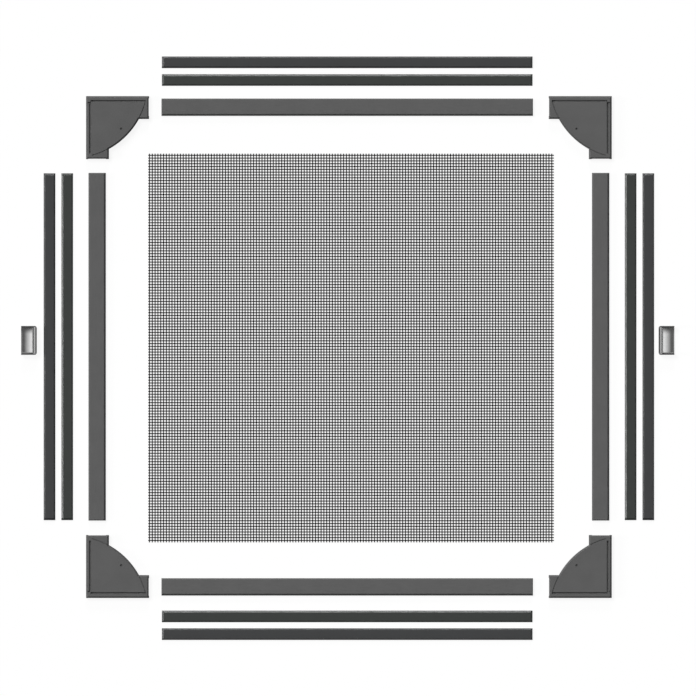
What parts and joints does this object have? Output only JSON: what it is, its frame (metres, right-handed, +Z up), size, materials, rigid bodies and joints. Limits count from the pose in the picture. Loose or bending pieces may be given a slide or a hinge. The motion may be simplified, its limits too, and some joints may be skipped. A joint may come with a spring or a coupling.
{
  "type": "window screen frame",
  "caption": "Magnetic window screen frame kit laid out flat: channelled rails, socketed corner caps, insect mesh, magnet strips and scoop handles.",
  "frame": {"origin": "on the surface that the kit lies on, under the middle of the layout's box", "axes": "+X along the top rail to the right, +Y along the left rail towards the top rail, +Z up out of the faces"},
  "size_m": [0.6534, 0.5836, 0.0088],
  "materials": {
    "rail_pvc": "extruded grey PVC, satin",
    "cap_abs": "injection-moulded grey ABS, satin",
    "frame_magnet": "extruded magnetic rubber, satin dark grey",
    "window_magnet": "extruded magnetic rubber, satin dark grey",
    "foam_adhesive": "white double-sided foam tape",
    "mesh_yarn": "black coated fibreglass yarn, plain weave",
    "chrome_plate": "bright chrome plate on plastic"
  },
  "bodies": {
    "root": {"adhesive_bottom": "foam_adhesive", "adhesive_left": "foam_adhesive", "adhesive_right": "foam_adhesive", "adhesive_top": "foam_adhesive", "corner_bottom_left": "cap_abs", "corner_bottom_right": "cap_abs", "corner_top_left": "cap_abs", "corner_top_right": "cap_abs", "frame_magnet_bottom": "frame_magnet", "frame_magnet_left": "frame_magnet", "frame_magnet_right": "frame_magnet", "frame_magnet_top": "frame_magnet", "handle_left": "chrome_plate", "handle_pad_left": "foam_adhesive", "handle_pad_right": "foam_adhesive", "handle_right": "chrome_plate", "rail_bottom": "rail_pvc", "rail_left": "rail_pvc", "rail_right": "rail_pvc", "rail_top": "rail_pvc", "screen_mesh": "mesh_yarn", "window_magnet_bottom": "window_magnet", "window_magnet_left": "window_magnet", "window_magnet_right": "window_magnet", "window_magnet_top": "window_magnet"}
  },
  "joints": []
}
